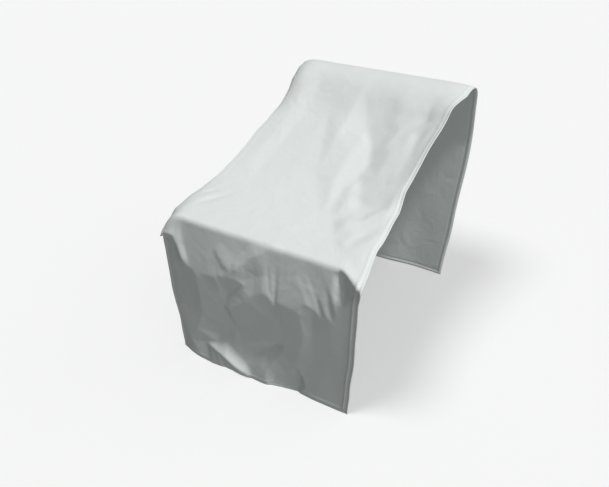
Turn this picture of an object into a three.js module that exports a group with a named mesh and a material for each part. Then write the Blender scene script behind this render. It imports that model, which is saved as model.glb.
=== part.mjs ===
// Cover for the armless middle section of a modular sofa: one hemmed strip of coated cloth that hangs to
// the floor in front, lies over the seat, rises up the back and hangs behind it, open at both sides.
// Millimetres, +Z up. X runs across the section and Y from its front to its back. The floor is at Z = 0.
import * as THREE from "three";

const clothThickness = 2;
const hemThickness = 3; // the cloth turned under twice and stitched
const hemWidth = 19;
const hemStep = 5; // run in which a hem thins to the single cloth
const halfWidth = 335; // of the strip laid flat
const marginWidth = 75; // strip along each side that overhangs the cushions and droops
const marginCurl = 3; // the higher, the nearer its edge a margin droops
const edgeWidth = 45; // outermost strip that turns back behind the drops
const edgeCurl = 1.5;
const swellCurl = 2.6; // the higher, the nearer the edge a side swells
const acrossStep = 26; // largest cell of the mesh across the strip
const bendStep = 0.42; // largest turn of one cell round a bend, in radians

// The middle of the strip seen from the side: straight runs whose corners are rounded by arcs. Step is the
// largest cell along the run that ends at the corner.
const profileCorners = [
  { name: "frontHem", y: -426, z: 0, bend: 0, step: 20 },
  { name: "frontFold", y: -434, z: 533, bend: 14, step: 21 },
  { name: "seatEnd", y: -110, z: 543, bend: 1050, step: 31 },
  { name: "hollow", y: 205, z: 691, bend: 600, step: 31 },
  { name: "lip", y: 345, z: 797, bend: 180, step: 29 },
  { name: "rearFold", y: 448, z: 797, bend: 45, step: 30 },
  { name: "rearBulge", y: 468, z: 600, bend: 400, step: 55 },
  { name: "rearHem", y: 420, z: 0, bend: 0, step: 60 },
];

// The two sides at ways s along the strip from the front hem. Reach is how far the edge lies from the
// middle, swell how far the side stands above it, droop how far its margin hangs down, and turn how far
// its outermost strip lies behind the cloth (or in front, where it is negative).
const sideColumns = ["s", "reach", "swell", "droop", "turn"];
const leftSide = [
  [0, 322, -4, 0, 4],
  [250, 332, 0, 0, 30],
  [440, 340, 0, 6, 26],
  [535, 338, 0, 34, -10],
  [660, 334, 4, 14, 0],
  [800, 334, 4, 8, 0],
  [900, 334, 0, 6, 0],
  [1050, 334, 0, 6, 0],
  [1160, 334, 0, 8, 0],
  [1250, 334, 0, 24, 0],
  [1330, 338, 0, 36, 0],
  [1400, 340, 0, 28, 0],
  [1500, 342, 0, 10, 0],
  [1700, 345, 0, 0, 0],
  [2000, 335, 0, 0, 0],
  [2240, 320, 0, 0, 0],
];
const rightSide = [
  [0, 320, 0, 0, 0],
  [250, 327, 0, 0, 0],
  [440, 336, 0, 10, -12],
  [535, 345, 0, 36, -30],
  [660, 331, 10, 6, 0],
  [800, 322, 20, 4, 0],
  [900, 312, 40, 0, 0],
  [1050, 316, 52, 0, 0],
  [1240, 326, 50, 0, 0],
  [1380, 338, -2, 10, 0],
  [1500, 346, 0, 5, 0],
  [1700, 348, 0, 0, 0],
  [2000, 334, 0, 0, 0],
  [2240, 320, 0, 0, 0],
];

// Separate folds. Each is a crest (or, with a negative rise, a trough) that runs through its stations:
// x across, s along, rise, and the width of its flank to the left and to the right of the way it runs.
// Soft is how round it is: small for a crease, large for a swell.
const stationColumns = ["x", "s", "rise", "left", "right"];
const folds = [
  {
    name: "leftRidge",
    soft: 0.2,
    stations: [
      [-245, 570, 2, 30, 50],
      [-243, 500, 11, 28, 70],
      [-256, 430, 13, 36, 70],
      [-246, 385, 5, 30, 70],
      [-230, 345, 0, 22, 30],
    ],
  },
  {
    name: "vee",
    soft: 0.2,
    stations: [
      [-72, 410, 0, 22, 22],
      [-40, 438, 7, 26, 40],
      [10, 489, 8, 30, 60],
      [60, 528, 4, 24, 40],
      [90, 550, 0, 22, 22],
    ],
  },
  {
    name: "leftRim",
    soft: 0.3,
    stations: [
      [-300, 700, 0, 40, 80],
      [-300, 850, 6, 40, 90],
      [-290, 1100, 10, 50, 100],
      [-285, 1300, 8, 50, 90],
      [-280, 1400, 0, 50, 80],
    ],
  },
  {
    name: "rearWave",
    soft: 0.5,
    stations: [
      [-95, 1440, 0, 90, 110],
      [-120, 1750, 7, 90, 120],
      [-150, 2240, 10, 90, 130],
    ],
  },
  {
    name: "rearTrough",
    soft: 0.5,
    stations: [
      [60, 1460, 0, 110, 100],
      [40, 1800, -5, 110, 110],
      [20, 2240, -8, 120, 120],
    ],
  },
  {
    name: "rearRipple",
    soft: 0.5,
    stations: [
      [190, 1900, 0, 60, 70],
      [205, 2100, 4, 70, 80],
      [215, 2240, 6, 80, 90],
    ],
  },
];

// The front drop slants out from the seat's fold until it meets a lower face. The slant's steepness is
// given across the strip, and its pleats lean to the right towards the right-hand corner.
const foldAt = 526; // way along the strip at which the slant starts
const pleatLean = 0.45;
const leanFrom = 80;
const leanTo = 180;
const breakRound = 2;
const slantColumns = ["x", "steepness"];
const frontSlant = [
  [-335, -0.02],
  [-276, 0.01],
  [-255, 0.15],
  [-190, 0.16],
  [-110, 0.21],
  [-50, 0.22],
  [0, 0.185],
  [40, 0.205],
  [90, 0.18],
  [125, 0.2],
  [160, 0.15],
  [212, 0.18],
  [250, 0.36],
  [274, 0.56],
  [335, 0.4],
];

// The lower face is crumpled into flat facets between creases. Each crease runs through its points: x
// across, s along, and how far the cloth stands out there.
const creaseColumns = ["x", "s", "out"];
const frontCreases = [
  {
    name: "above",
    points: [
      [-345, 560, 8], [-262, 560, 30], [-50, 560, 42], [150, 560, 40], [260, 560, 34], [345, 560, 18],
    ],
  },
  { name: "leftEdge", points: [[-345, 380, 4], [-345, 200, 8], [-345, 60, 6]] },
  { name: "rightEdge", points: [[345, 300, 10], [345, 100, 6]] },
  {
    name: "cornerCrest",
    points: [
      [-58, 396, 30], [-112, 322, 28], [-195, 198, 29], [-238, 128, 30], [-275, 66, 28],
    ],
  },
  {
    name: "flameTop",
    points: [
      [-214, 72, 22], [-165, 76, 9], [-108, 103, -1], [-82, 60, 12], [-46, 34, 19], [-26, 9, 28],
    ],
  },
  {
    name: "flameCrest",
    points: [
      [-170, 68, 28], [-134, 66, 35], [-110, 46, 34], [-90, 28, 33], [-54, 12, 31],
    ],
  },
  { name: "gullyCrest", points: [[-20, 85, 17], [18, 75, 25], [38, 33, 29]] },
  { name: "patchTop", points: [[-15, 93, 15], [28, 141, 6], [61, 167, 3]] },
  { name: "patchCrest", points: [[93, 155, 12], [72, 117, 17], [46, 76, 23]] },
  { name: "bandValley", points: [[66, 38, 6], [104, 44, -6], [150, 55, -18]] },
  { name: "bandEnd", points: [[166, 82, 9], [176, 30, 7]] },
  {
    name: "facetCrest",
    points: [
      [150, 390, 30], [162, 350, 30], [176, 270, 24], [158, 183, 18], [140, 116, 13],
    ],
  },
  { name: "facetEdge", points: [[203, 367, 23], [203, 269, 16], [200, 149, 10]] },
  { name: "tongueFoot", points: [[-104, 268, 25], [-84, 325, 23], [-39, 372, 26]] },
  {
    name: "tongueCrest",
    points: [
      [-80, 262, 32], [-50, 296, 33], [-20, 327, 33], [-6, 356, 32], [40, 387, 31],
    ],
  },
  {
    name: "middle",
    points: [
      [-1, 230, 24], [94, 273, 24], [29, 180, 19], [-70, 190, 20], [-148, 141, 18], [-50, 120, 14],
      [105, 205, 19],
    ],
  },
  { name: "leftFace", points: [[-262, 360, 26], [-200, 375, 27], [-130, 395, 31]] },
  { name: "rightFace", points: [[261, 267, 16], [264, 350, 25], [243, 132, 10]] },
  {
    name: "hem",
    points: [
      [-345, -10, 0], [-319, -10, 6], [-233, -10, 23], [-162, -10, 27], [-119, -10, 23], [-79, -10, 27],
      [-27, -10, 30], [32, -10, 28], [45, -10, 26], [83, -10, 17], [150, -10, 4], [164, -10, 5],
      [217, -10, 8], [309, -10, 7], [345, -10, 5],
    ],
  },
];

// The seat and the back have softer facets, in the same columns.
const topCreases = [
  {
    name: "plain",
    points: [
      [-345, 540, 0], [-345, 1420, 0], [-130, 800, 0], [-110, 1200, 0], [0, 540, 0], [0, 1420, 0],
      [100, 740, 0], [345, 540, 0], [345, 1200, 0], [345, 1420, 0],
    ],
  },
  { name: "wedgeCrest", points: [[-19, 1305, 1], [-26, 1218, 3], [-25, 1093, 4], [-5, 992, 2]] },
  {
    name: "hollowLeft",
    points: [
      [2, 1280, 0], [59, 1165, -9], [120, 1077, -10], [148, 1000, -9], [161, 920, -7], [196, 852, -1],
    ],
  },
  {
    name: "longCrest",
    points: [
      [147, 1354, 1], [169, 1270, 5], [187, 1170, 6], [197, 1063, 5], [203, 953, 4], [208, 862, 2],
    ],
  },
  { name: "fingerCrest", points: [[64, 1032, 2], [64, 964, 5], [74, 887, 5], [96, 812, 3]] },
  { name: "secondCrest", points: [[143, 877, 2], [162, 797, 5], [195, 716, 5], [236, 625, 2]] },
  { name: "secondFoot", points: [[194, 836, -5], [209, 776, -1], [245, 663, 1]] },
  { name: "edgeTroughLeft", points: [[206, 1309, 0], [232, 1166, 1], [246, 1079, 2]] },
  {
    name: "edgeTrough",
    points: [
      [256, 1336, -1], [259, 1268, -6], [262, 1207, -9], [270, 1131, -9], [276, 1079, -4],
    ],
  },
  { name: "edgeTroughRight", points: [[278, 1324, 1], [284, 1203, 1], [294, 1133, 1]] },
  { name: "rayCrest", points: [[236, 740, 3], [261, 783, 5], [305, 812, 7]] },
  { name: "rayFoot", points: [[262, 830, 0], [300, 900, 0]] },
];
const topFrom = 530; // ways along the strip between which they lie
const topTo = 1430;

const named = (columns) => (row) => Object.fromEntries(columns.map((column, i) => [column, row[i]]));
const mix = THREE.MathUtils.lerp;
const ease = (t) => THREE.MathUtils.smoothstep(t, 0, 1);

// The profile as a path in the YZ plane, with the way along it at which each run and bend ends.
function roundedProfile(corners) {
  const at = corners.map((corner) => new THREE.Vector2(corner.y, corner.z));
  const path = new THREE.Path().moveTo(at[0].x, at[0].y);
  const marks = [];
  let way = 0;
  let from = at[0];
  for (let i = 1; i < at.length; i += 1) {
    const into = at[i].clone().sub(at[i - 1]).normalize();
    const last = i === at.length - 1;
    const out = last ? into : at[i + 1].clone().sub(at[i]).normalize();
    const turn = Math.atan2(into.cross(out), into.dot(out));
    const { bend, step } = corners[i];
    const cut = bend * Math.tan(Math.abs(turn) / 2);
    const start = at[i].clone().addScaledVector(into, -cut);
    path.lineTo(start.x, start.y);
    way += start.distanceTo(from);
    marks.push({ way, step });
    if (last) break;
    const side = Math.sign(turn);
    const centre = start.clone().add(new THREE.Vector2(-into.y, into.x).multiplyScalar(side * bend));
    const angle = Math.atan2(start.y - centre.y, start.x - centre.x);
    path.absarc(centre.x, centre.y, bend, angle, angle + turn, side < 0);
    way += bend * Math.abs(turn);
    marks.push({ way, step: Math.min(step, bend * bendStep) });
    from = at[i].clone().addScaledVector(out, cut);
  }
  return { path, marks, length: way };
}

const profile = roundedProfile(profileCorners);

// A side's measures at way s, eased from one row of its table to the next.
function sideAt(table, s) {
  const rows = table.map(named(sideColumns));
  const next = rows.findIndex((row) => row.s > s);
  if (next < 0) return rows[rows.length - 1];
  const below = rows[Math.max(next - 1, 0)];
  const above = rows[next];
  const t = ease((s - below.s) / (above.s - below.s || 1));
  return Object.fromEntries(sideColumns.map((key) => [key, mix(below[key], above[key], t)]));
}

// Height of one stretch of a fold at (x, s): a tent across the stretch, rounded at its crest and its foot.
function stretchHeight(x, s, start, end, soft) {
  const dx = end.x - start.x;
  const ds = end.s - start.s;
  const length = Math.hypot(dx, ds);
  const t = THREE.MathUtils.clamp(((x - start.x) * dx + (s - start.s) * ds) / length ** 2, 0, 1);
  const offX = x - start.x - t * dx;
  const offS = s - start.s - t * ds;
  const off = Math.hypot(offX, offS);
  const leftness = (offS * dx - offX * ds) / (length * Math.max(off, 1e-6));
  const width = mix(mix(start.right, end.right, t), mix(start.left, end.left, t), (1 + leftness) / 2);
  const tent = 1 + soft - Math.hypot(off / width, soft);
  return (mix(start.rise, end.rise, ease(t)) * (tent + Math.hypot(tent, soft / 2))) / 2;
}

// Height of the separate folds at (x, s): of the crests the highest counts, and of the troughs the deepest.
function foldHeight(x, s) {
  const heights = folds.flatMap(({ soft, stations }) => {
    const rows = stations.map(named(stationColumns));
    return rows.slice(1).map((end, i) => stretchHeight(x, s, rows[i], end, soft));
  });
  return Math.max(0, ...heights) + Math.min(0, ...heights);
}

// The facets of a table of creases: every three points with no other inside the circle through them.
function facetsBetween(creases) {
  const points = creases.flatMap((crease) => crease.points.map(named(creaseColumns)));
  const facets = [];
  for (const [i, a] of points.entries()) {
    for (let j = i + 1; j < points.length; j += 1) {
      for (let k = j + 1; k < points.length; k += 1) {
        const b = new THREE.Vector2(points[j].x - a.x, points[j].s - a.s);
        const c = new THREE.Vector2(points[k].x - a.x, points[k].s - a.s);
        const area = b.cross(c);
        if (Math.abs(area) < 1) continue;
        const middle = new THREE.Vector2(
          (c.y * b.lengthSq() - b.y * c.lengthSq()) / (2 * area),
          (b.x * c.lengthSq() - c.x * b.lengthSq()) / (2 * area),
        );
        const round = middle.lengthSq() - 1e-3;
        const open = points.every((p) => (p.x - a.x - middle.x) ** 2 + (p.s - a.s - middle.y) ** 2 > round);
        if (open) facets.push({ a, b, c, area, outB: points[j].out - a.out, outC: points[k].out - a.out });
      }
    }
  }
  return facets;
}

const frontFacets = facetsBetween(frontCreases);
const topFacets = facetsBetween(topCreases);

// How far the facets stand out at (x, s).
function facetHeight(facets, x, s) {
  for (const { a, b, c, area, outB, outC } of facets) {
    const shareB = ((x - a.x) * c.y - (s - a.s) * c.x) / area;
    const shareC = (b.x * (s - a.s) - b.y * (x - a.x)) / area;
    const inside = Math.min(shareB, shareC, 1 - shareB - shareC) > -1e-6;
    if (inside) return a.out + outB * shareB + outC * shareC;
  }
  return 0;
}

// Height of the front drop: the lower of its slant and its lower face.
function frontHeight(x, s) {
  const down = foldAt - s;
  const start = x - pleatLean * ease((x - leanFrom) / (leanTo - leanFrom)) * down;
  const rows = frontSlant.map(named(slantColumns));
  const next = Math.max(rows.findIndex((row) => row.x > start), 1);
  const t = THREE.MathUtils.clamp((start - rows[next - 1].x) / (rows[next].x - rows[next - 1].x), 0, 1);
  const slant = mix(rows[next - 1].steepness, rows[next].steepness, t) * down;
  const lower = facetHeight(frontFacets, x, s);
  return lower + (slant - lower - Math.hypot(slant - lower, breakRound)) / 2;
}

// A point of the cloth's outer face: u runs from -1 at the left edge to 1 at the right one.
function outerPoint(u, s) {
  const way = THREE.MathUtils.clamp(s / profile.length, 0, 1);
  const at = profile.path.getPoint(way);
  const along = profile.path.getTangent(way);
  const x = u * halfWidth;
  const side = sideAt(u < 0 ? leftSide : rightSide, s);
  const inset = halfWidth * (1 - Math.abs(u));
  const margin = Math.max(1 - inset / marginWidth, 0) ** marginCurl;
  const edge = Math.max(1 - inset / edgeWidth, 0) ** edgeCurl;
  let out = foldHeight(x, s) + side.swell * Math.abs(u) ** swellCurl - side.turn * edge;
  if (s < foldAt) out += frontHeight(x, s);
  if (s > topFrom && s < topTo) out += facetHeight(topFacets, x, s);
  return new THREE.Vector3(u * side.reach, at.x - along.y * out, at.y + along.x * out - side.droop * margin);
}

// Where the mesh has its lines: even cells between the marks, and a narrow one at each hem's step.
function spaced(from, to, step) {
  const cells = Math.max(Math.ceil((to - from) / step), 1);
  return Array.from({ length: cells }, (_, i) => mix(from, to, (i + 1) / cells));
}

function acrossLines() {
  const inner = halfWidth - hemWidth - hemStep;
  const hemEnd = halfWidth - hemWidth;
  return [-halfWidth, -hemEnd, -inner, ...spaced(-inner, inner, acrossStep), hemEnd, halfWidth];
}

function alongLines() {
  const start = hemWidth + hemStep;
  const end = profile.length - start;
  const lines = [0, hemWidth, start];
  for (const { way, step } of profile.marks) {
    const from = lines[lines.length - 1];
    lines.push(...spaced(from, Math.min(way, end), step));
  }
  return [...lines, profile.length - hemWidth, profile.length];
}

// The closed sheet: an outer and an inner skin, joined round the rim.
function sheetGeometry() {
  const columns = acrossLines();
  const rows = alongLines();
  const outer = [];
  const inner = [];
  const near = 1; // how far apart the points lie that give the slope of the cloth
  for (const s of rows) {
    for (const x of columns) {
      const u = x / halfWidth;
      const du = near / halfWidth;
      const across = outerPoint(Math.min(u + du, 1), s).sub(outerPoint(Math.max(u - du, -1), s));
      const further = outerPoint(u, Math.min(s + near, profile.length));
      const along = further.sub(outerPoint(u, Math.max(s - near, 0)));
      const normal = across.cross(along).normalize();
      const atEdge = Math.min(halfWidth - Math.abs(x), s, profile.length - s);
      const thickness = atEdge < hemWidth + hemStep / 2 ? hemThickness : clothThickness;
      const point = outerPoint(u, s);
      outer.push(point);
      inner.push(point.clone().addScaledVector(normal, -thickness));
    }
  }
  const wide = columns.length;
  const high = rows.length;
  const under = outer.length;
  const faces = [];
  const quad = (a, b, c, d) => faces.push(a, b, c, a, c, d);
  for (let j = 0; j < high - 1; j += 1) {
    for (let i = 0; i < wide - 1; i += 1) {
      const a = j * wide + i;
      quad(a, a + 1, a + wide + 1, a + wide);
      quad(under + a, under + a + wide, under + a + wide + 1, under + a + 1);
    }
  }
  for (let i = 0; i < wide - 1; i += 1) {
    const top = (high - 1) * wide + i;
    quad(i, under + i, under + i + 1, i + 1);
    quad(top, top + 1, under + top + 1, under + top);
  }
  for (let j = 0; j < high - 1; j += 1) {
    const a = j * wide;
    const b = a + wide - 1;
    quad(a, a + wide, under + a + wide, under + a);
    quad(b, under + b, under + b + wide, b + wide);
  }
  const geometry = new THREE.BufferGeometry().setFromPoints([...outer, ...inner]);
  geometry.setIndex(faces);
  return geometry;
}

// The origin is on the floor under the middle of the cover's bounding box.
function centredOnFloor(geometry) {
  geometry.computeBoundingBox();
  const { min, max } = geometry.boundingBox;
  geometry.translate(-(min.x + max.x) / 2, -(min.y + max.y) / 2, -min.z);
  geometry.computeVertexNormals();
  return geometry;
}

const coatedCloth = new THREE.MeshStandardMaterial({ color: 0xd9dcda, roughness: 0.5, metalness: 0 });
const cover = new THREE.Mesh(centredOnFloor(sheetGeometry()), coatedCloth);
cover.name = "cover_cloth";

const group = new THREE.Group();
group.add(cover);

export default group;
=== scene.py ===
import math

import bmesh
import bpy
import numpy as np
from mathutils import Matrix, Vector


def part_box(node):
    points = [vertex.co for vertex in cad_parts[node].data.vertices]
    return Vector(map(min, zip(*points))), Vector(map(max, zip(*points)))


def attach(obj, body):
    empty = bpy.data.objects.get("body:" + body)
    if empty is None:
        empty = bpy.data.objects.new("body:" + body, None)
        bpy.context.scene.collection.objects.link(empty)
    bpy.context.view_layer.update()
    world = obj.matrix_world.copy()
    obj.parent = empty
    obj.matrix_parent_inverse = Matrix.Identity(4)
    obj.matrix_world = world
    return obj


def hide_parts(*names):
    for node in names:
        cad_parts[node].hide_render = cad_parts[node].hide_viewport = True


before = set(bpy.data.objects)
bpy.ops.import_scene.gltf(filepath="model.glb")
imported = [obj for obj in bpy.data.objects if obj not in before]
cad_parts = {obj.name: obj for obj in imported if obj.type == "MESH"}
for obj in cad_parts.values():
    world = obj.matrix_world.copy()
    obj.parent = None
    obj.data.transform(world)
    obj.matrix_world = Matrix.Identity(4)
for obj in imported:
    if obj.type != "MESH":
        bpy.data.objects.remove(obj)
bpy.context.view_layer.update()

cloth = {
    "thickness": 0.0016,  # metres, as every length here is
    "hemThickness": 0.0028,
    "hemWidth": 0.019,
    "flat": (0.67, 2.24),  # as cut
    "halfWidth": 0.335,
    "margin": 0.075,  # strip along each side that droops past the cushions
    "marginCurl": 3.0,  # the higher a curl, the closer to the edge it keeps
    "edge": 0.045,  # outermost strip that turns back
    "edgeCurl": 1.5,
    "swellCurl": 2.6,
    "topFrom": 0.53,  # where the seat's creases begin along the strip, and the back's end
    "topTo": 1.43,
}

# The middle of the strip, seen from the side: y, z and the radius of the bend at each corner.
profileCorners = {
    "frontHem": (-0.426, 0.000, 0),
    "frontFold": (-0.434, 0.533, 0.014),
    "seatEnd": (-0.110, 0.543, 1.05),
    "hollow": (0.205, 0.691, 0.60),
    "lip": (0.345, 0.797, 0.18),
    "rearFold": (0.448, 0.797, 0.045),
    "rearBulge": (0.468, 0.600, 0.40),
    "rearHem": (0.420, 0.000, 0),
}

# A hem's outer face: distance from the edge, and how far it stands out there.
hemShape = [
    (0, 0.0030),
    (0.003, 0.0012),
    (0.006, -0.0014),
    (0.0085, -0.0020),
    (0.0135, 0.0040),
    (0.0155, 0.0040),
    (0.019, 0.0008),
    (0.022, 0),
]
# How much of that shape each edge has: s on the sides or x on the ends, and the share.
hemShares = {
    "left": [(0, -0.8), (0.50, -0.6), (0.56, 0.2), (1.40, 0.2), (1.50, 0.6), (2.24, 0.6)],
    "right": [(0, 1), (0.50, 1), (0.56, 0.3), (1.40, 0.3), (1.50, 0.6), (2.24, 0.6)],
    "front": [(-0.335, 0.3), (0.05, 0.3), (0.14, 0.5), (0.20, 0.8), (0.335, 0.8)],
    "rear": [(-0.335, 0.6), (0.335, 0.6)],
}

# The front right corner, where the seat's edge is pulled out past the front drop.
pulledCorner = {
    "from": 0.268,  # x where the pull begins, and where it is full
    "to": 0.335,
    "ways": (0.452, 0.530, 0.640),  # s where it begins, is full, and ends
    "forward": 0.045,
    "down": 0.010,
    "aside": 0.014,
}

# The two sides along the strip: s, how far the edge lies from the middle, how far the side swells out, how
# far its margin droops, and how far its edge turns back.
leftSide = [
    (0, 0.318, 0, 0, 0),
    (0.10, 0.321, 0, 0, 0),
    (0.25, 0.343, 0, 0, 0.002),
    (0.44, 0.349, 0, 0.010, 0.004),
    (0.49, 0.343, 0, 0.034, 0.004),
    (0.535, 0.334, 0, 0.048, 0),
    (0.59, 0.333, 0.002, 0.020, 0),
    (0.66, 0.332, 0.002, 0.012, 0),
    (0.72, 0.325, 0, 0.008, 0),
    (0.80, 0.312, 0, 0.001, 0),
    (1.02, 0.311, 0, 0.001, 0),
    (1.10, 0.300, 0, 0.002, 0),
    (1.20, 0.297, 0, 0.012, 0),
    (1.26, 0.301, 0, 0.020, 0),
    (1.33, 0.312, 0, 0.026, 0),
    (1.40, 0.318, 0, 0.019, 0),
    (1.50, 0.332, 0, 0.008, 0),
    (1.70, 0.342, 0, 0, 0),
    (2.00, 0.335, 0, 0, 0),
    (2.24, 0.320, 0, 0, 0),
]
rightSide = [
    (0, 0.320, 0, 0, 0),
    (0.10, 0.326, 0, 0, -0.002),
    (0.25, 0.338, 0, 0, -0.004),
    (0.44, 0.344, 0, 0.002, -0.004),
    (0.535, 0.347, 0, 0.012, -0.006),
    (0.66, 0.333, 0.010, 0.006, 0),
    (0.80, 0.325, 0.020, 0.004, 0),
    (0.90, 0.315, 0.040, 0, 0),
    (1.05, 0.318, 0.052, 0, 0),
    (1.24, 0.328, 0.050, 0, 0),
    (1.38, 0.340, -0.002, 0.010, 0),
    (1.50, 0.348, 0, 0.005, 0),
    (1.70, 0.350, 0, 0, 0),
    (2.00, 0.336, 0, 0, 0),
    (2.24, 0.321, 0, 0, 0),
]

# Folds: how soft the crest is, then stations of x, s, rise, and width to the left and to the right.
folds = {
    # the front drop
    "leftRidge": (0.15, [
        (-0.270, 0.500, 0.001, 0.012, 0.04),
        (-0.262, 0.440, 0.007, 0.014, 0.05),
        (-0.249, 0.400, 0.008, 0.016, 0.05),
        (-0.232, 0.360, 0, 0.012, 0.03),
    ]),
    "veeLeft": (0.30, [
        (-0.128, 0.480, 0, 0.012, 0.010),
        (-0.112, 0.456, 0.003, 0.030, 0.016),
        (-0.090, 0.432, 0.004, 0.034, 0.018),
        (-0.068, 0.412, 0.003, 0.026, 0.016),
    ]),
    "vee": (0.06, [
        (-0.072, 0.410, 0.003, 0.020, 0.030),
        (-0.040, 0.438, 0.007, 0.026, 0.040),
        (0.010, 0.489, 0.008, 0.030, 0.060),
        (0.060, 0.528, 0.004, 0.024, 0.040),
        (0.090, 0.550, 0, 0.008, 0.010),
    ]),
    "upright": (0.10, [
        (0.050, 0.490, 0, 0.003, 0.003),
        (0.055, 0.440, -0.0018, 0.007, 0.005),
        (0.062, 0.395, -0.0018, 0.007, 0.005),
        (0.078, 0.348, 0, 0.003, 0.003),
    ]),
    "nick": (0.10, [
        (-0.022, 0.438, 0, 0.003, 0.003),
        (0.000, 0.430, -0.0012, 0.006, 0.004),
        (0.020, 0.424, 0, 0.003, 0.003),
    ]),
    "fanA": (0.08, [
        (0.165, 0.478, 0, 0.008, 0.010),
        (0.196, 0.430, 0.0030, 0.020, 0.026),
        (0.229, 0.355, 0, 0.006, 0.010),
    ]),
    "fanB": (0.08, [
        (0.214, 0.478, 0, 0.006, 0.006),
        (0.238, 0.425, 0.0028, 0.014, 0.022),
        (0.262, 0.345, 0, 0.006, 0.008),
    ]),
    "fanC": (0.08, [
        (0.238, 0.490, 0, 0.006, 0.006),
        (0.262, 0.430, 0.0026, 0.012, 0.018),
        (0.280, 0.376, 0, 0.005, 0.006),
    ]),
    "cornerValley": (0.02, [
        (0.264, 0.534, 0, 0.008, 0.008),
        (0.277, 0.500, -0.014, 0.034, 0.026),
        (0.289, 0.460, -0.010, 0.022, 0.030),
        (0.293, 0.425, 0, 0.008, 0.020),
    ]),
    # the seat and the back
    "leftRim": (0.30, [
        (-0.280, 0.780, 0, 0.10, 0.05),
        (-0.280, 0.900, 0.005, 0.25, 0.05),
        (-0.276, 1.080, 0.008, 0.25, 0.05),
        (-0.270, 1.240, 0.008, 0.20, 0.05),
        (-0.266, 1.360, 0.003, 0.10, 0.05),
        (-0.268, 1.420, 0, 0.06, 0.04),
    ]),
    "leftWrinkleA": (0.30, [
        (-0.310, 0.665, 0, 0.012, 0.016),
        (-0.285, 0.700, -0.003, 0.012, 0.016),
        (-0.262, 0.735, 0, 0.012, 0.016),
    ]),
    "leftWrinkleB": (0.30, [
        (-0.290, 0.590, 0, 0.012, 0.016),
        (-0.250, 0.660, -0.003, 0.014, 0.018),
        (-0.195, 0.750, 0, 0.012, 0.016),
    ]),
    # the rear drop
    "rearWave": (0.50, [
        (-0.095, 1.440, 0, 0.09, 0.11),
        (-0.120, 1.750, 0.007, 0.09, 0.12),
        (-0.150, 2.240, 0.010, 0.09, 0.13),
    ]),
    "rearTrough": (0.50, [
        (0.060, 1.460, 0, 0.11, 0.10),
        (0.040, 1.800, -0.005, 0.11, 0.11),
        (0.020, 2.240, -0.008, 0.12, 0.12),
    ]),
    "rearRipple": (0.50, [
        (0.190, 1.900, 0, 0.06, 0.07),
        (0.205, 2.100, 0.004, 0.07, 0.08),
        (0.215, 2.240, 0.006, 0.08, 0.09),
    ]),
}

# The front drop slants out from the seat's fold, in pleats, until it meets the crumpled lower face.
front = {
    "foldAt": 0.526,  # s of the seat's fold
    "soft": 0.0012,  # how softly the slant meets the lower face
    "lean": 0.45,  # sideways run of a pleat for its drop, right of the middle
    "leanFrom": 0.08,
    "leanTo": 0.18,
    "pleatWidth": 0.02,
    "pleatFrom": 0.02,  # how far below the fold the pleats begin, and are full
    "pleatTo": 0.10,
}
# x, and how steeply the slant stands out there
pleats = [
    (-0.335, 0.520),
    (-0.292, 0.480),
    (-0.274, 0.240),
    (-0.256, 0.170),
    (-0.240, 0.146),
    (-0.190, 0.162),
    (-0.110, 0.208),
    (-0.050, 0.219),
    (-0.020, 0.182),
    (0.010, 0.182),
    (0.040, 0.216),
    (0.066, 0.193),
    (0.082, 0.158),
    (0.088, 0.184),
    (0.125, 0.205),
    (0.140, 0.170),
    (0.160, 0.144),
    (0.175, 0.172),
    (0.194, 0.150),
    (0.216, 0.190),
    (0.240, 0.225),
    (0.300, 0.220),
    (0.335, 0.160),
]
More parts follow.
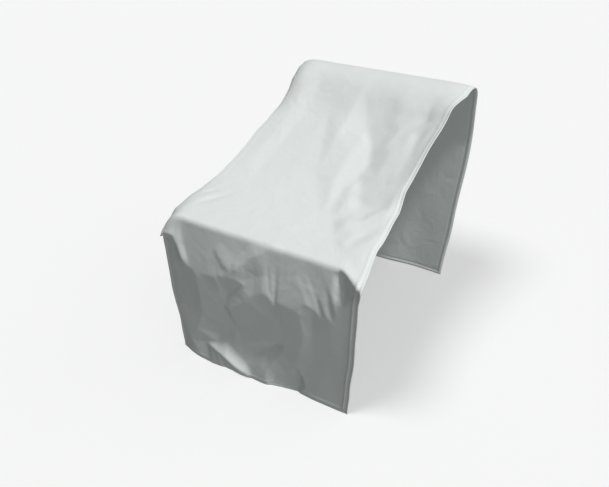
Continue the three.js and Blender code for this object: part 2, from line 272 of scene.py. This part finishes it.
# The lower face is flat facets between creases: x, s and how far the cloth stands out there.
creases = {
    "cornerEdge": [
        (-0.345, 0.484, 0.026), (-0.300, 0.482, 0.027), (-0.276, 0.472, 0.020),
        (-0.263, 0.440, 0.016), (-0.250, 0.406, 0.019), (-0.232, 0.370, 0.024),
    ],
    "cornerFoot": [
        (-0.345, 0.456, 0.006), (-0.303, 0.452, 0.008), (-0.287, 0.430, 0.009),
        (-0.275, 0.396, 0.011), (-0.262, 0.352, 0.015),
    ],
    "above": [
        (-0.345, 0.560, 0.030), (-0.262, 0.560, 0.030), (-0.235, 0.440, 0.032),
        (-0.050, 0.560, 0.042), (0.150, 0.560, 0.040), (0.260, 0.560, 0.034), (0.345, 0.560, 0.018),
    ],
    "leftEdge": [(-0.345, 0.380, 0.004), (-0.345, 0.200, 0.006), (-0.345, 0.060, 0.008)],
    "rightEdge": [(0.345, 0.300, 0.010), (0.345, 0.100, 0.006)],
    "cornerCrest": [
        (-0.058, 0.396, 0.030), (-0.112, 0.322, 0.028), (-0.195, 0.198, 0.029),
        (-0.238, 0.128, 0.030), (-0.275, 0.066, 0.028),
    ],
    "flameTop": [
        (-0.208, 0.079, 0.026), (-0.158, 0.096, 0.025), (-0.122, 0.114, 0.022),
        (-0.089, 0.129, 0.019), (-0.072, 0.074, 0.022), (-0.037, 0.048, 0.025),
        (-0.023, 0.012, 0.030),
    ],
    "flameCrest": [
        (-0.177, 0.079, 0.037), (-0.148, 0.076, 0.045), (-0.109, 0.065, 0.051),
        (-0.079, 0.046, 0.051), (-0.050, 0.032, 0.048), (-0.032, 0.020, 0.040),
    ],
    "gullyCrest": [(-0.020, 0.085, 0.017), (0.018, 0.075, 0.025), (0.038, 0.033, 0.029)],
    "patchTop": [(-0.015, 0.093, 0.015), (0.028, 0.141, 0.006), (0.061, 0.167, 0.003)],
    "patchCrest": [(0.093, 0.155, 0.012), (0.072, 0.117, 0.017), (0.046, 0.076, 0.023)],
    "bandValley": [(0.066, 0.038, 0.006), (0.104, 0.044, -0.006), (0.150, 0.055, -0.018)],
    "bandEnd": [(0.166, 0.082, 0.009), (0.176, 0.030, 0.007)],
    "facetCrest": [
        (0.150, 0.390, 0.030), (0.162, 0.350, 0.030), (0.176, 0.270, 0.024), (0.158, 0.183, 0.018),
        (0.140, 0.116, 0.013),
    ],
    "facetEdge": [(0.203, 0.367, 0.023), (0.203, 0.269, 0.0165), (0.200, 0.149, 0.010)],
    "tongueFoot": [(-0.104, 0.268, 0.025), (-0.084, 0.325, 0.023), (-0.039, 0.372, 0.026)],
    "tongueCrest": [
        (-0.080, 0.262, 0.032), (-0.050, 0.296, 0.033), (-0.020, 0.327, 0.033),
        (-0.006, 0.356, 0.032), (0.040, 0.387, 0.031),
    ],
    "middle": [
        (-0.001, 0.230, 0.024), (0.094, 0.273, 0.024), (0.029, 0.180, 0.019),
        (-0.070, 0.190, 0.020), (-0.148, 0.141, 0.018), (-0.050, 0.120, 0.014),
        (0.105, 0.205, 0.019),
    ],
    "leftFace": [(-0.200, 0.375, 0.027), (-0.130, 0.395, 0.031)],
    "rightFace": [(0.261, 0.267, 0.016), (0.264, 0.350, 0.025), (0.243, 0.132, 0.010)],
    "hem": [
        (-0.345, -0.010, 0.006), (-0.320, -0.010, 0.014), (-0.290, -0.010, 0.024),
        (-0.255, -0.010, 0.031), (-0.222, -0.010, 0.035), (-0.186, -0.010, 0.037),
        (-0.154, -0.010, 0.034), (-0.126, -0.010, 0.028), (-0.100, -0.010, 0.027),
        (-0.066, -0.010, 0.030), (-0.027, -0.010, 0.027), (0.032, -0.010, 0.029),
        (0.048, -0.010, 0.026), (0.083, -0.010, 0.017), (0.150, -0.010, 0.004),
        (0.164, -0.010, 0.005), (0.217, -0.010, 0.008), (0.309, -0.010, 0.007),
        (0.345, -0.010, 0.005),
    ],
}

# The seat and the back are soft facets between creases, in the same columns.
topCreases = {
    "plain": [
        (-0.345, 0.540, 0), (-0.345, 0.900, 0), (-0.345, 1.420, 0), (-0.210, 1.420, 0),
        (0.000, 1.420, 0), (0.345, 1.420, 0), (0.345, 1.200, 0), (0.345, 0.540, 0),
        (0.000, 0.540, 0), (-0.160, 1.000, 0), (-0.130, 0.800, 0), (0.060, 0.640, 0),
    ],
    "streakFoot": [
        (-0.133, 1.300, -0.001), (-0.108, 1.200, -0.003), (-0.070, 1.080, -0.004),
        (-0.030, 0.985, -0.001),
    ],
    "wedgeCrest": [
        (-0.019, 1.305, 0), (-0.026, 1.218, 0.001), (-0.025, 1.093, 0.003), (-0.005, 0.992, 0.002),
    ],
    "hollowLeft": [
        (0.004, 1.280, -0.002), (0.059, 1.165, -0.011), (0.120, 1.077, -0.012),
        (0.148, 1.000, -0.010), (0.161, 0.920, -0.007), (0.196, 0.852, -0.001),
    ],
    "hollowRight": [(0.139, 1.295, 0.003), (0.155, 1.200, 0.004), (0.175, 1.084, 0.003)],
    "longCrest": [
        (0.147, 1.354, 0.001), (0.169, 1.270, 0.005), (0.187, 1.170, 0.006), (0.197, 1.063, 0.005),
        (0.203, 0.953, 0.004), (0.208, 0.862, 0.002),
    ],
    "lowStreak": [(-0.029, 0.943, 0), (0.040, 0.843, -0.002), (0.101, 0.754, -0.001)],
    "fingerCrest": [
        (0.066, 1.098, -0.003), (0.064, 1.032, 0.002), (0.064, 0.964, 0.005), (0.074, 0.887, 0.005),
        (0.096, 0.812, 0.003), (0.110, 0.763, 0),
    ],
    "fingerFoot": [
        (0.138, 0.932, -0.006), (0.117, 0.872, -0.001), (0.118, 0.810, -0.001),
        (0.129, 0.761, -0.002),
    ],
    "secondCrest": [
        (0.149, 0.916, -0.004), (0.143, 0.877, 0.002), (0.162, 0.797, 0.006), (0.195, 0.716, 0.007),
        (0.236, 0.625, 0.004),
    ],
    "secondFoot": [
        (0.169, 0.892, -0.007), (0.194, 0.836, -0.005), (0.209, 0.776, -0.001),
        (0.245, 0.663, 0.001),
    ],
    "secondLeft": [(0.151, 0.739, -0.003), (0.194, 0.659, -0.005), (0.234, 0.596, -0.002)],
    "edgeTroughLeft": [
        (0.206, 1.309, 0), (0.221, 1.248, 0), (0.232, 1.166, 0.001), (0.246, 1.079, 0.002),
    ],
    "edgeTrough": [
        (0.256, 1.336, 0), (0.259, 1.268, -0.003), (0.262, 1.207, -0.006), (0.270, 1.131, -0.007),
        (0.276, 1.079, -0.003),
    ],
    "edgeTroughRight": [
        (0.278, 1.324, 0.001), (0.281, 1.260, 0.001), (0.284, 1.203, 0.001), (0.294, 1.133, 0.001),
    ],
    "lump": [
        (0.258, 0.976, 0.003), (0.231, 0.953, 0.003), (0.220, 0.872, 0.002), (0.245, 0.920, -0.001),
        (0.275, 0.912, 0.003),
    ],
    "rayCrest": [
        (0.234, 0.690, 0.003), (0.236, 0.740, 0.005), (0.261, 0.783, 0.007), (0.305, 0.812, 0.009),
    ],
    "rayFoot": [(0.236, 0.767, -0.002), (0.262, 0.809, -0.001), (0.296, 0.862, 0.005)],
    "lowRayCrest": [(0.258, 0.612, 0.002), (0.283, 0.650, 0.005), (0.318, 0.696, 0.007)],
    "lowRayFoot": [(0.256, 0.652, -0.001), (0.280, 0.702, -0.001), (0.315, 0.752, 0.002)],
}


# A share that starts and ends gently.
def ease(t):
    t = np.clip(t, 0, 1)
    return t * t * (3 - 2 * t)


# The profile as straight runs and arcs: where each begins along the strip, its length, its start point,
# its heading, and 1 / radius with its sign.
def profileRuns(corners):
    at = [np.array(corner[:2], float) for corner in corners]
    found = []
    way, start = 0.0, at[0]
    for i in range(1, len(at)):
        into = (at[i] - at[i - 1]) / np.linalg.norm(at[i] - at[i - 1])
        last = i == len(at) - 1
        out = into if last else (at[i + 1] - at[i]) / np.linalg.norm(at[i + 1] - at[i])
        turn = math.atan2(into[0] * out[1] - into[1] * out[0], into @ out)
        bend = corners[i][2]
        cut = bend * math.tan(abs(turn) / 2)
        end = at[i] - into * cut
        length = np.linalg.norm(end - start)
        heading = math.atan2(into[1], into[0])
        found.append((way, length, start, heading, 0.0))
        way += length
        if bend:
            found.append((way, bend * abs(turn), end, heading, math.copysign(1 / bend, turn)))
            way += bend * abs(turn)
        start = at[i] + out * cut
    return found, way


runs, stripLength = profileRuns(list(profileCorners.values()))
hair = 1e-9  # less than this is nothing


# Points on the profile at s, and the direction it runs in there.
def alongProfile(s):
    y, z = np.zeros_like(s), np.zeros_like(s)
    dy, dz = np.zeros_like(s), np.zeros_like(s)
    for way, length, start, heading, curve in runs:
        here = s >= way - hair
        t = np.clip(s[here] - way, 0, length)
        angle = heading + curve * t
        if curve:
            y[here] = start[0] + (np.sin(angle) - math.sin(heading)) / curve
            z[here] = start[1] - (np.cos(angle) - math.cos(heading)) / curve
        else:
            y[here] = start[0] + t * math.cos(heading)
            z[here] = start[1] + t * math.sin(heading)
        dy[here], dz[here] = np.cos(angle), np.sin(angle)
    return y, z, dy, dz


# A side's measures at s, eased from row to row.
def sideAt(rows, s):
    rows = np.array(rows, float)
    at = np.clip(np.searchsorted(rows[:, 0], s, side="right") - 1, 0, len(rows) - 2)
    t = ease((s - rows[at, 0]) / (rows[at + 1, 0] - rows[at, 0]))
    return [rows[at, i] + (rows[at + 1, i] - rows[at, i]) * t for i in range(1, 5)]


# Height of one fold: a tent across each stretch between two stations, rounded at its crest and its foot.
def foldHeight(x, s, soft, stations):
    best = np.zeros_like(x)
    for (x0, s0, rise0, left0, right0), (x1, s1, rise1, left1, right1) in zip(stations, stations[1:]):
        dx, ds = x1 - x0, s1 - s0
        length = math.hypot(dx, ds)
        t = np.clip(((x - x0) * dx + (s - s0) * ds) / length**2, 0, 1)
        offX, offS = x - x0 - t * dx, s - s0 - t * ds
        off = np.hypot(offX, offS)
        leftness = (offS * dx - offX * ds) / (length * np.maximum(off, hair))
        left, right = left0 + (left1 - left0) * t, right0 + (right1 - right0) * t
        width = left * (1 + leftness) / 2 + right * (1 - leftness) / 2
        tent = 1 + soft - np.hypot(off / width, soft)
        tent = (tent + np.hypot(tent, soft / 2)) / 2
        height = (rise0 + (rise1 - rise0) * ease(t)) * tent
        best = np.where(np.abs(height) > np.abs(best), height, best)
    return best


# The maps that hold the facets: cells of x and s, and over how many of them a crease is rounded.
heightMap = {
    "cell": 0.002,
    "left": -0.36,
    "start": -0.03,
    "wide": 361,
    "high": 745,
    "frontBlur": 1,
    "topBlur": 4,
    "sliver": 1e-6,  # a facet thinner than this is left out, and facets overlap by as much
}


# The facets between crease points: every three with no other point inside the circle through them.
def facetsBetween(points):
    way = points[:, :2]
    facets = []
    for i, a in enumerate(way):
        for j in range(i + 1, len(way)):
            for k in range(j + 1, len(way)):
                b, c = way[j] - a, way[k] - a
                area = b[0] * c[1] - b[1] * c[0]
                if abs(area) < heightMap["sliver"]:
                    continue
                middle = np.array([
                    c[1] * (b @ b) - b[1] * (c @ c),
                    b[0] * (c @ c) - c[0] * (b @ b),
                ]) / (2 * area)
                if np.all(np.sum((way - a - middle) ** 2, 1) > middle @ middle - hair):
                    facets.append((i, j, k))
    return facets


# The cells of a map that lie between two measures.
def cellsBetween(line, values):
    return slice(*np.searchsorted(line, (min(values), max(values) + heightMap["sliver"])))


# The facets between a table's creases, drawn on the map's cells and then rounded by averaging.
def drawFacets(table, blurCells):
    points = np.array([point for line in table.values() for point in line])
    x = heightMap["left"] + heightMap["cell"] * np.arange(heightMap["wide"])
    s = heightMap["start"] + heightMap["cell"] * np.arange(heightMap["high"])
    height = np.zeros((heightMap["high"], heightMap["wide"]))
    for facet in facetsBetween(points):
        a, b, c = points[list(facet)]
        columns = cellsBetween(x, (a[0], b[0], c[0]))
        rows = cellsBetween(s, (a[1], b[1], c[1]))
        offX, offS = x[None, columns] - a[0], s[rows, None] - a[1]
        area = (b[0] - a[0]) * (c[1] - a[1]) - (b[1] - a[1]) * (c[0] - a[0])
        shareB = (offX * (c[1] - a[1]) - offS * (c[0] - a[0])) / area
        shareC = ((b[0] - a[0]) * offS - (b[1] - a[1]) * offX) / area
        slack = heightMap["sliver"]
        inside = (shareB >= -slack) & (shareC >= -slack) & (shareB + shareC <= 1 + slack)
        plane = a[2] + (b[2] - a[2]) * shareB + (c[2] - a[2]) * shareC
        height[rows, columns] = np.where(inside, plane, height[rows, columns])
    steps = range(-blurCells, blurCells + 1)
    for axis in (0, 1, 0, 1):  # twice each way
        height = sum(np.roll(height, step, axis) for step in steps) / len(steps)
    return height


frontMap = drawFacets(creases, heightMap["frontBlur"])
topMap = drawFacets(topCreases, heightMap["topBlur"])
print("creases", len(creases), len(topCreases))


# A map's height at x and s, between its cells.
def mapHeight(drawn, x, s):
    column = np.clip((x - heightMap["left"]) / heightMap["cell"], 0, heightMap["wide"] - 1.001)
    row = np.clip((s - heightMap["start"]) / heightMap["cell"], 0, heightMap["high"] - 1.001)
    i, j = column.astype(int), row.astype(int)
    right, up = column - i, row - j
    low = drawn[j, i] * (1 - right) + drawn[j, i + 1] * right
    high = drawn[j + 1, i] * (1 - right) + drawn[j + 1, i + 1] * right
    return low * (1 - up) + high * up


# Height of the front drop: the lower of its pleated slant and its lower face.
def frontHeight(x, s):
    down = np.maximum(front["foldAt"] - s, 0)
    lean = front["lean"] * ease((x - front["leanFrom"]) / (front["leanTo"] - front["leanFrom"]))
    start, width = x - lean * down, front["pleatWidth"]
    even = sum(np.interp(start + offset, *np.array(pleats).T) for offset in (-width, 0, width)) / 3
    pleated = ease((down - front["pleatFrom"]) / (front["pleatTo"] - front["pleatFrom"]))
    slope = even + (np.interp(start, *np.array(pleats).T) - even) * pleated
    lower = mapHeight(frontMap, x, s)
    gap = slope * down - lower
    height = lower + (gap - np.hypot(gap, front["soft"])) / 2
    return np.where(s < front["foldAt"], height, 0)


# The cloth's outer face: u runs from -1 at the left edge to 1 at the right one, s along the strip.
def sheetPoints(u, s):
    x = u * cloth["halfWidth"]
    y, z, dy, dz = alongProfile(s)
    left, right = sideAt(leftSide, s), sideAt(rightSide, s)
    reach, swell, droop, turn = [np.where(u < 0, a, b) for a, b in zip(left, right)]
    inset = cloth["halfWidth"] * (1 - np.abs(u))
    margin = np.maximum(1 - inset / cloth["margin"], 0) ** cloth["marginCurl"]
    edge = np.maximum(1 - inset / cloth["edge"], 0) ** cloth["edgeCurl"]
    out = swell * np.abs(u) ** cloth["swellCurl"] - turn * edge
    low = s < front["foldAt"]
    out[low] += frontHeight(x[low], s[low])
    top = (s > cloth["topFrom"]) & (s < cloth["topTo"])
    out[top] += mapHeight(topMap, x[top], s[top])
    ridges, troughs = np.zeros_like(out), np.zeros_like(out)
    for soft, stations in folds.values():
        height = foldHeight(x, s, soft, stations)
        ridges, troughs = np.maximum(ridges, height), np.minimum(troughs, height)
    out += ridges + troughs
    # each edge: the points on its side, how far they lie from it, and the way its share goes by
    edges = {
        "left": (u < 0, inset, s),
        "right": (u > 0, inset, s),
        "front": (s < 1, s, x),
        "rear": (s > 1, stripLength - s, x),
    }
    nearest = np.minimum(np.minimum(inset, s), stripLength - s)
    for name, (side, distance, along) in edges.items():
        here = side & (distance <= nearest)
        share = np.interp(along, *np.array(hemShares[name]).T)
        out += np.where(here, np.interp(distance, *np.array(hemShape).T) * share, 0)
    pull = pulledCorner
    spread = np.clip((x - pull["from"]) / (pull["to"] - pull["from"]), 0, None)
    spread = spread * np.interp(s, pull["ways"], (0, 1, 0))
    return np.stack([
        u * reach + pull["aside"] * spread,
        y - dz * out - pull["forward"] * spread,
        z + dy * out - droop * margin - pull["down"] * spread,
    ], -1)


# Lines of the grid: fine ones at the hems, and even ones between.
grid = {
    "acrossLines": 128,
    "pastHem": 0.004,
    "frontTo": 0.62,
    "frontStep": 0.0046,
    "topTo": 1.46,
    "topStep": 0.0066,
    "rearStep": 0.018,
}


def acrossLines():
    half = cloth["halfWidth"]
    edge = np.array(hemShape)[:, 0]
    inner = half - edge[-1] - grid["pastHem"]
    middle = np.linspace(-inner, inner, grid["acrossLines"])
    return np.concatenate([-half + edge, middle, (half - edge)[::-1]])


def alongLines():
    edge = np.array(hemShape)[:, 0]
    inner = edge[-1] + grid["pastHem"]
    stretches = [
        (inner, grid["frontTo"], grid["frontStep"]),
        (grid["frontTo"], grid["topTo"], grid["topStep"]),
        (grid["topTo"], stripLength - inner, grid["rearStep"]),
    ]
    lines = [edge]
    for start, end, step in stretches:
        lines.append(np.linspace(start, end, int((end - start) / step), endpoint=False))
    return np.concatenate(lines + [[stripLength - inner], (stripLength - edge)[::-1]])


# The part's origin is under the middle of its solid, so the sheet is moved there: its rear half, which is
# the widest and furthest back, sets its place, and its top sets its height.
def partShift():
    rearFrom = 1.2
    u = np.linspace(-1, 1, 200)[None, :]
    s = np.linspace(rearFrom, stripLength, 500)[:, None]
    points = sheetPoints(*np.broadcast_arrays(u, s)).reshape(-1, 3)
    low, high = points.min(0), points.max(0)
    boxLow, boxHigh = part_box("cover_cloth")
    middle = (boxLow[0] + boxHigh[0] - low[0] - high[0]) / 2
    return np.array([middle, boxHigh[1] - high[1], boxHigh[2] - high[2]])


def buildSheet(shift):
    half = cloth["halfWidth"]
    across, along = acrossLines(), alongLines()
    u, s = np.meshgrid(across / half, along)
    points = (sheetPoints(u, s) + shift).reshape(-1, 3)
    bm = bmesh.new()
    uvLayer = bm.loops.layers.uv.new("cloth")
    bmesh.ops.create_grid(bm, x_segments=len(across) - 1, y_segments=len(along) - 1, size=0.5)
    bm.verts.index_update()
    flat, hemVerts = {}, []
    for vert in bm.verts:  # the grid's own place says which line and row a vertex is on
        i = round((vert.co.x + 0.5) * (len(across) - 1))
        j = round((vert.co.y + 0.5) * (len(along) - 1))
        flat[vert] = (across[i], along[j])
        vert.co = points[j * len(across) + i]
        if min(half - abs(across[i]), along[j], stripLength - along[j]) < cloth["hemWidth"]:
            hemVerts.append(vert.index)
    for face in bm.faces:
        face.smooth = True
        for loop in face.loops:
            loop[uvLayer].uv = flat[loop.vert]
    mesh = bpy.data.meshes.new("coverSheet")
    bm.to_mesh(mesh)
    bm.free()
    sheet = bpy.data.objects.new("coverSheet", mesh)
    bpy.context.scene.collection.objects.link(sheet)
    sheet.vertex_groups.new(name="hem").add(hemVerts, 1.0, "REPLACE")
    solid = sheet.modifiers.new("thickness", "SOLIDIFY")
    solid.thickness = cloth["hemThickness"]
    solid.offset = -1
    solid.vertex_group = "hem"
    solid.thickness_vertex_group = cloth["thickness"] / cloth["hemThickness"]
    return sheet


# One socket of a material, so that sums on it add Math nodes.
class Wire:
    def __init__(self, tree, socket):
        self.tree = tree
        self.socket = socket

    def other(self, output):
        return Wire(self.tree, self.socket.node.outputs[output])

    def maths(self, operation, *values):
        return self.tree.node("ShaderNodeMath", {"operation": operation}, dict(enumerate(values)))

    def __add__(self, other):
        return self.maths("ADD", self, other)

    __radd__ = __add__

    def __sub__(self, other):
        return self.maths("SUBTRACT", self, other)

    def __rsub__(self, other):
        return self.maths("SUBTRACT", other, self)

    def __mul__(self, other):
        return self.maths("MULTIPLY", self, other)

    __rmul__ = __mul__


# The node tree of a material or a world: one call adds a node, sets it, and fills its sockets.
class Tree:
    def __init__(self, owner):
        owner.use_nodes = True
        self.owner = owner
        self.nodes = owner.node_tree.nodes
        self.links = owner.node_tree.links
        self.nodes.clear()

    def node(self, kind, settings, sockets, output=0):
        made = self.nodes.new(kind)
        for key, value in settings.items():
            setattr(made, key, value)
        for key, value in sockets.items():
            if isinstance(value, Wire):
                self.links.new(value.socket, made.inputs[key])
            else:
                made.inputs[key].default_value = value
        return Wire(self, made.outputs[output]) if made.outputs else None


coatedCloth = {
    "colour": (0.70, 0.725, 0.715, 1),
    "worn": (0.65, 0.675, 0.665, 1),
    # stitch thread colour, lighter than the cloth: partly the thread's own colour, partly a painted
    # highlight standing in for the lit line along the hems
    "threadAndPaintedHighlight": (0.84, 0.86, 0.85, 1),
    "roughness": 0.46,
    "rubbed": 0.12,  # how much the roughness varies
    "patchScale": 5.0,
    "rubScale": 38.0,
    "crumpleScale": 13.0,
    "crumple": 0.0028,
    "weavePitch": 0.0011,
    "weaveDepth": 0.00004,
    "stitchInset": 0.0115,  # from the edge of the cloth
    "stitchHalfWidth": 0.0011,
    "stitchPitch": 0.0055,
    "stitchGap": -0.3,  # from -1 for none to 1 for no stitches
    "stitchCover": 0.8,
    "stitchDepth": 0.0003,
}


def makeClothMaterial():
    look = coatedCloth
    tree = Tree(bpy.data.materials.new("coatedCloth"))
    solid = tree.node("ShaderNodeTexCoord", {}, {}, output=3)
    patches = tree.node(
        "ShaderNodeTexNoise", {}, {"Vector": solid, "Scale": look["patchScale"], "Detail": 4.0}
    )
    rub = tree.node("ShaderNodeTexNoise", {}, {"Vector": solid, "Scale": look["rubScale"], "Detail": 3.0})
    ripples = tree.node(
        "ShaderNodeTexNoise",
        {},
        {"Vector": solid, "Scale": look["crumpleScale"], "Detail": 2.0, "Distortion": 0.8},
    )

    # the weave, on the cloth's own flat measures
    place = tree.node("ShaderNodeUVMap", {"uv_map": "cloth"}, {})
    across = tree.node("ShaderNodeSeparateXYZ", {}, {"Vector": place})
    along = across.other(1)
    turns = 2 * math.pi / look["weavePitch"]
    warp, weft = across * turns, along * turns
    weave = warp.maths("SINE", warp) * weft.maths("SINE", weft)

    # one row of stitches along all four hems
    fromSide = cloth["halfWidth"] - across.maths("ABSOLUTE", across)
    fromEnd = along.maths("MINIMUM", along, stripLength - along)
    atSide = fromSide.maths("LESS_THAN", fromSide, fromEnd)
    off = fromSide.maths("MINIMUM", fromSide, fromEnd) - look["stitchInset"]
    row = off.maths("LESS_THAN", off.maths("ABSOLUTE", off), look["stitchHalfWidth"])
    run = (atSide * along + (1.0 - atSide) * across) * (2 * math.pi / look["stitchPitch"])
    stitches = row * run.maths("GREATER_THAN", run.maths("SINE", run), look["stitchGap"])

    tone = tree.node(
        "ShaderNodeMix",
        {"data_type": "RGBA"},
        {0: patches * 0.5 + rub * 0.2 - 0.1, 6: look["colour"], 7: look["worn"]},
        output=2,
    )
    # the stitch row is painted in the lighter thread colour, which is partly real thread and partly a
    # painted highlight along all four hems
    tone = tree.node(
        "ShaderNodeMix",
        {"data_type": "RGBA"},
        {0: stitches * look["stitchCover"], 6: tone, 7: look["threadAndPaintedHighlight"]},
        output=2,
    )
    height = weave * look["weaveDepth"] + ripples * look["crumple"] + stitches * look["stitchDepth"]
    bump = tree.node("ShaderNodeBump", {}, {"Strength": 1.0, "Distance": 1.0, "Height": height})
    surface = tree.node(
        "ShaderNodeBsdfPrincipled",
        {},
        {
            "Base Color": tone,
            "Roughness": rub * look["rubbed"] + (look["roughness"] - look["rubbed"] / 2),
            "Normal": bump,
            "IOR": 1.45,
        },
    )
    tree.node("ShaderNodeOutputMaterial", {}, {"Surface": surface})
    return tree.owner


studio = {
    "floorSize": 40,
    "floorColour": (0.90, 0.90, 0.90, 1),
    "sky": 0.285,
    "skyColour": (0.98, 1.01, 0.99),
    "skyLean": 0.7,  # how much brighter the sky is on the right than on the left
    # each light: strength, where it comes from, and how wide it is in degrees
    "key": (2.75, (0.33, -0.02, 0.94), 8),
    "floorFill": (1.36, (0, 0, 1), 20),
    "floorShade": (1.06, (-0.28, -0.37, 1), 22),
}


# A wide sun that lights only the pieces in a collection.
def addSun(name, values, receivers, shadow=True):
    strength, comesFrom, width = values
    data = bpy.data.lights.new(name, "SUN")
    data.energy = strength
    data.angle = math.radians(width)
    data.use_shadow = shadow
    sun = bpy.data.objects.new(name, data)
    sun.rotation_euler = Vector(comesFrom).to_track_quat("Z", "Y").to_euler()
    bpy.context.scene.collection.objects.link(sun)
    sun.light_linking.receiver_collection = receivers


def buildStudio(cover):
    bm = bmesh.new()
    bmesh.ops.create_grid(bm, x_segments=1, y_segments=1, size=studio["floorSize"])
    mesh = bpy.data.meshes.new("floor")
    bm.to_mesh(mesh)
    bm.free()
    floor = bpy.data.objects.new("floor", mesh)
    tree = Tree(bpy.data.materials.new("paleFloor"))
    surface = tree.node("ShaderNodeBsdfDiffuse", {}, {"Color": studio["floorColour"]})
    tree.node("ShaderNodeOutputMaterial", {}, {"Surface": surface})
    mesh.materials.append(tree.owner)
    floor.visible_diffuse = False  # its bounce would wash out the hanging cloth
    floor.visible_glossy = False
    groups = {}
    for name, piece in (("litCover", cover), ("litFloor", floor)):
        groups[name] = bpy.data.collections.new(name)
        groups[name].objects.link(piece)
    bpy.context.scene.collection.objects.link(floor)
    sky = Tree(bpy.data.worlds.new("studioSky"))
    toward = sky.node("ShaderNodeTexCoord", {}, {})
    side = sky.node("ShaderNodeSeparateXYZ", {}, {"Vector": toward})
    lean = sky.node(
        "ShaderNodeVectorMath",
        {"operation": "SCALE"},
        {0: studio["skyColour"], "Scale": side * studio["skyLean"] + 1.0},
    )
    light = sky.node("ShaderNodeBackground", {}, {"Color": lean, "Strength": studio["sky"]})
    sky.node("ShaderNodeOutputWorld", {}, {"Surface": light})
    bpy.context.scene.world = sky.owner
    addSun("key", studio["key"], groups["litCover"])
    addSun("floorFill", studio["floorFill"], groups["litFloor"], shadow=False)
    addSun("floorShade", studio["floorShade"], groups["litFloor"])
    bpy.context.scene.view_settings.view_transform = "Standard"


viewpoint = {
    "place": (0.845, -1.599, 1.442),
    "turn": 30.12,  # degrees
    "dip": 32.71,
    "lens": 35.44,  # millimetres
    "sensor": 36,
}


def buildCamera(shift):
    data = bpy.data.cameras.new("camera")
    data.sensor_width = viewpoint["sensor"]
    data.lens = viewpoint["lens"]
    camera = bpy.data.objects.new("camera", data)
    camera.location = Vector(viewpoint["place"]) + Vector(shift)
    camera.rotation_euler = (math.radians(90 - viewpoint["dip"]), 0, math.radians(viewpoint["turn"]))
    bpy.context.scene.collection.objects.link(camera)
    bpy.context.scene.camera = camera


shift = partShift()
print("sheet", shift)
sheet = buildSheet(shift)
print("coated cloth")
sheet.data.materials.append(makeClothMaterial())
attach(sheet, "root")
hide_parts("cover_cloth")
print("studio")
buildStudio(sheet)
buildCamera(shift)

bpy.context.view_layer.update()
